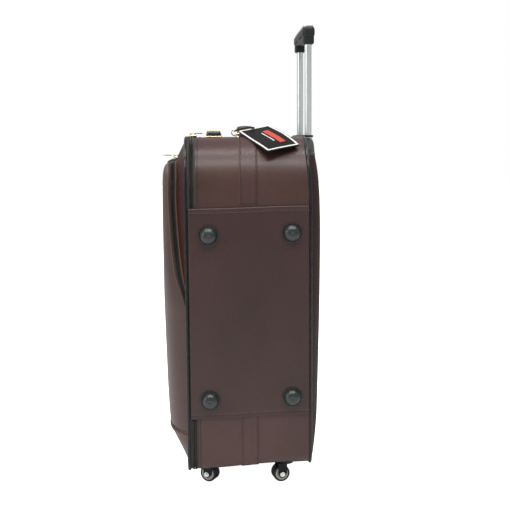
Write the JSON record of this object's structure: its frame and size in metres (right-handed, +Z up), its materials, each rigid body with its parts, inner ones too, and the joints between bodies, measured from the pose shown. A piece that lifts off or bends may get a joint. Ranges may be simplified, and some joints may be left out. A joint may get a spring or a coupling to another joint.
{
  "type": "rolling cabin case",
  "caption": "Soft-sided leather cabin case on swivel casters, with a two-stage telescopic handle, a zipped lid, a front pocket and a combination lock.",
  "frame": {"origin": "on the floor, under the middle of the gusset, midway between the two sides", "axes": "+Z up, +Y to the rear where the telescopic handle is, +X to the hinge side that carries the four feet"},
  "size_m": [0.3962, 0.266, 0.7305],
  "materials": {
    "leather": "satin",
    "leather_rear": "satin",
    "board": "matte",
    "lining": "matte",
    "piping": "gloss",
    "feet": "gloss",
    "zip_tape": "matte",
    "lock": "satin",
    "gold": "polished",
    "dial": "gloss",
    "black_plastic": "matte",
    "aluminium": "satin",
    "grip": "matte",
    "grip_insert": "satin",
    "tag": "satin",
    "steel": "brushed",
    "wheel": "matte"
  },
  "bodies": {
    "case": {"gusset_cover": "leather", "frame_hoop": "board", "base_board": "board", "back_board": "board", "back_cover": "leather_rear", "lining": "lining", "rear_piping": "piping", "gusset_strap": "leather", "side_panel": "leather", "side_feet": "feet", "main_zip_tape_rear": "zip_tape", "lock_body": "lock", "handle_housing": "black_plastic", "outer_tubes": "aluminium", "handle_bracket": "black_plastic", "carry_brackets": "gold", "handle_ends": "leather", "caster_plates": "black_plastic"},
    "middle_stage": {"middle_tubes": "aluminium", "middle_collars": "black_plastic"},
    "inner_stage": {"inner_tubes": "aluminium", "grip_body": "grip", "grip_cap": "grip_insert"},
    "grip_release": {"grip_button": "black_plastic"},
    "lid": {"lid_cover": "leather", "lid_lower_cover": "leather", "lid_board": "board", "lid_piping": "piping", "main_zip_tape_front": "zip_tape", "pocket_base": "leather", "pocket_zip_tape_rear": "zip_tape"},
    "pocket_flap": {"pocket_cover": "leather", "pocket_zip_tape_front": "zip_tape"},
    "pocket_slider": {"pocket_slider": "gold"},
    "pocket_puller": {"pocket_puller": "gold"},
    "main_slider_left": {"main_slider_left": "gold"},
    "main_puller_left": {"main_puller_left": "gold"},
    "main_slider_right": {"main_slider_right": "gold"},
    "main_puller_right": {"main_puller_right": "gold"},
    "lock_dial_1": {"lock_dial_1": "dial"},
    "lock_dial_2": {"lock_dial_2": "dial"},
    "lock_dial_3": {"lock_dial_3": "dial"},
    "lock_button": {"lock_button": "gold"},
    "top_handle": {"top_handle": "leather"},
    "side_handle": {"side_handle": "leather"},
    "tag": {"luggage_tag": "tag", "tag_strap": "leather"},
    "caster_front_hinge": {"fork_front_hinge": "black_plastic", "axle_front_hinge": "steel"},
    "wheel_front_hinge": {"wheel_front_hinge": "wheel"},
    "caster_rear_hinge": {"fork_rear_hinge": "black_plastic", "axle_rear_hinge": "steel"},
    "wheel_rear_hinge": {"wheel_rear_hinge": "wheel"},
    "caster_front_free": {"fork_front_free": "black_plastic", "axle_front_free": "steel"},
    "wheel_front_free": {"wheel_front_free": "wheel"},
    "caster_rear_free": {"fork_rear_free": "black_plastic", "axle_rear_free": "steel"},
    "wheel_rear_free": {"wheel_rear_free": "wheel"}
  },
  "joints": [
    {"name": "middle_stage_draw", "type": "slide", "parent": "case", "child": "middle_stage", "axis": [0, 0, 1], "range_m": [0, 0.22]},
    {"name": "inner_stage_draw", "type": "slide", "parent": "middle_stage", "child": "inner_stage", "axis": [0, 0, 1], "range_m": [-0.14, 0.06]},
    {"name": "grip_button_press", "type": "slide", "parent": "inner_stage", "child": "grip_release", "axis": [0, 0, -1], "range_m": [0, 0.004], "stiffness_N_per_m": 600},
    {"name": "lid_open", "type": "hinge", "parent": "case", "child": "lid", "pos_m": [0.1833, -0.0945, 0.3], "axis": [0, 0, 1], "range_deg": [0, 110]},
    {"name": "pocket_open", "type": "hinge", "parent": "lid", "child": "pocket_flap", "pos_m": [0, -0.1365, 0.34], "axis": [1, 0, 0], "range_deg": [0, 35]},
    {"name": "pocket_zip_run", "type": "slide", "parent": "lid", "child": "pocket_slider", "axis": [1, 0, 0], "range_m": [0, 0.198]},
    {"name": "pocket_puller_swing", "type": "hinge", "parent": "pocket_slider", "child": "pocket_puller", "pos_m": [-0.099, -0.124, 0.5182], "axis": [-1, 0, 0], "range_deg": [-10, 120]},
    {"name": "main_zip_run_left", "type": "slide", "parent": "case", "child": "main_slider_left", "axis": [-1, 0, 0], "range_m": [0, 0.085]},
    {"name": "main_puller_swing_left", "type": "hinge", "parent": "main_slider_left", "child": "main_puller_left", "pos_m": [-0.009, -0.0882, 0.5568], "axis": [1, 0, 0], "range_deg": [0, 160]},
    {"name": "main_zip_run_right", "type": "slide", "parent": "case", "child": "main_slider_right", "axis": [1, 0, 0], "range_m": [0, 0.085]},
    {"name": "main_puller_swing_right", "type": "hinge", "parent": "main_slider_right", "child": "main_puller_right", "pos_m": [0.009, -0.0882, 0.5568], "axis": [1, 0, 0], "range_deg": [0, 160]},
    {"name": "lock_dial_turn_1", "type": "hinge", "parent": "case", "child": "lock_dial_1", "pos_m": [-0.0162, -0.053, 0.5572], "axis": [1, 0, 0], "continuous": true},
    {"name": "lock_dial_turn_2", "type": "hinge", "parent": "case", "child": "lock_dial_2", "pos_m": [-0.0072, -0.053, 0.5572], "axis": [1, 0, 0], "continuous": true},
    {"name": "lock_dial_turn_3", "type": "hinge", "parent": "case", "child": "lock_dial_3", "pos_m": [0.0018, -0.053, 0.5572], "axis": [1, 0, 0], "continuous": true},
    {"name": "lock_button_press", "type": "slide", "parent": "case", "child": "lock_button", "axis": [0, 0, -1], "range_m": [0, 0.0015], "stiffness_N_per_m": 500},
    {"name": "top_handle_lift", "type": "slide", "parent": "case", "child": "top_handle", "axis": [0, 0, 1], "range_m": [0, 0.015]},
    {"name": "side_handle_lift", "type": "slide", "parent": "case", "child": "side_handle", "axis": [-1, 0, 0], "range_m": [0, 0.015]},
    {"name": "tag_swing", "type": "hinge", "parent": "case", "child": "tag", "pos_m": [0.074, -0.019, 0.558], "axis": [1, 0, 0], "range_deg": [0, 75]},
    {"name": "swivel_front_hinge", "type": "hinge", "parent": "case", "child": "caster_front_hinge", "pos_m": [0.141, -0.057, 0.037], "axis": [0, 0, 1], "continuous": true},
    {"name": "roll_front_hinge", "type": "hinge", "parent": "caster_front_hinge", "child": "wheel_front_hinge", "pos_m": [0.13762, -0.06425, 0.0135], "axis": [0.9063, -0.4226, 0], "continuous": true},
    {"name": "swivel_rear_hinge", "type": "hinge", "parent": "case", "child": "caster_rear_hinge", "pos_m": [0.141, 0.057, 0.037], "axis": [0, 0, 1], "continuous": true},
    {"name": "roll_rear_hinge", "type": "hinge", "parent": "caster_rear_hinge", "child": "wheel_rear_hinge", "pos_m": [0.14266, 0.04918, 0.0135], "axis": [0.9781, 0.2079, 0], "continuous": true},
    {"name": "swivel_front_free", "type": "hinge", "parent": "case", "child": "caster_front_free", "pos_m": [-0.141, -0.057, 0.037], "axis": [0, 0, 1], "continuous": true},
    {"name": "roll_front_free", "type": "hinge", "parent": "caster_front_free", "child": "wheel_front_free", "pos_m": [-0.14211, -0.06492, 0.0135], "axis": [0.9903, -0.1392, 0], "continuous": true},
    {"name": "swivel_rear_free", "type": "hinge", "parent": "case", "child": "caster_rear_free", "pos_m": [-0.141, 0.057, 0.037], "axis": [0, 0, 1], "continuous": true},
    {"name": "roll_rear_free", "type": "hinge", "parent": "caster_rear_free", "child": "wheel_rear_free", "pos_m": [-0.1403, 0.04903, 0.0135], "axis": [0.9962, 0.0872, 0], "continuous": true}
  ]
}
